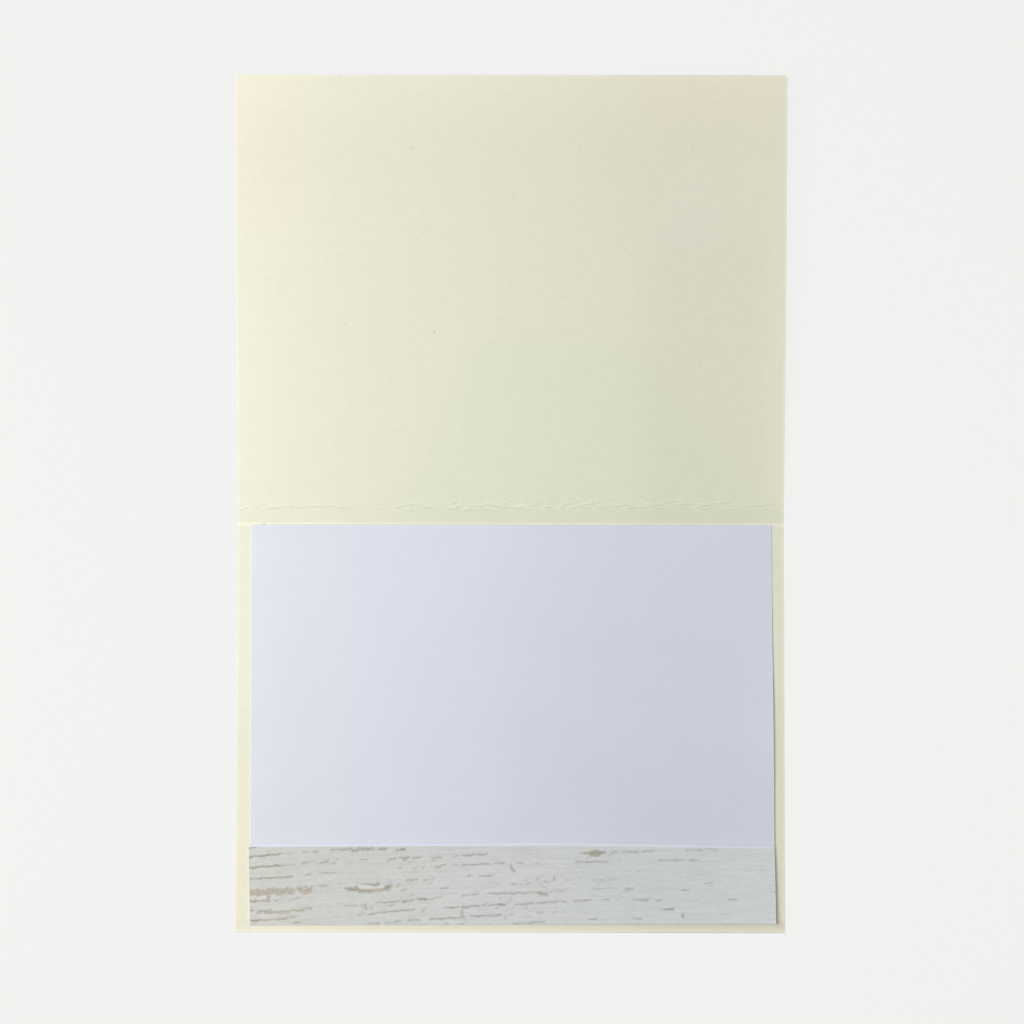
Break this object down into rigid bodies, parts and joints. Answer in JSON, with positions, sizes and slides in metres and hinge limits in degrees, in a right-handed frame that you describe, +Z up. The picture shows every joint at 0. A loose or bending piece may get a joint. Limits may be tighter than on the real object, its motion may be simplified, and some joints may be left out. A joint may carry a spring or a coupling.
{
  "type": "greeting card",
  "caption": "Blank folded greeting card lying open, with a white writing sheet and a strip of wood-patterned paper stuck inside.",
  "frame": {"origin": "under the middle of the open card, at table height", "axes": "+X along the crease to the right, +Y from the back panel towards the front panel's free edge, +Z up, out of the card's inside"},
  "size_m": [0.1396, 0.2174, 0.0065],
  "materials": {
    "cream_cardstock": "smooth uncoated cream cardstock",
    "white_paper": "smooth uncoated bluish white cardstock",
    "whitewashed_paper": "matt printed paper, pale grey whitewash",
    "crack_print": "matt grey-brown print",
    "bare_wood_print": "matt light brown print",
    "tape": "translucent double-sided tape"
  },
  "bodies": {
    "root": {"card_base": "cream_cardstock", "message_panel": "white_paper", "wood_strip": "whitewashed_paper", "print_cracks": "crack_print", "print_patches": "bare_wood_print", "sheet_tape_top": "tape", "sheet_tape_bottom": "tape", "sheet_tape_left": "tape", "sheet_tape_right": "tape", "strip_tape": "tape"}
  },
  "joints": []
}
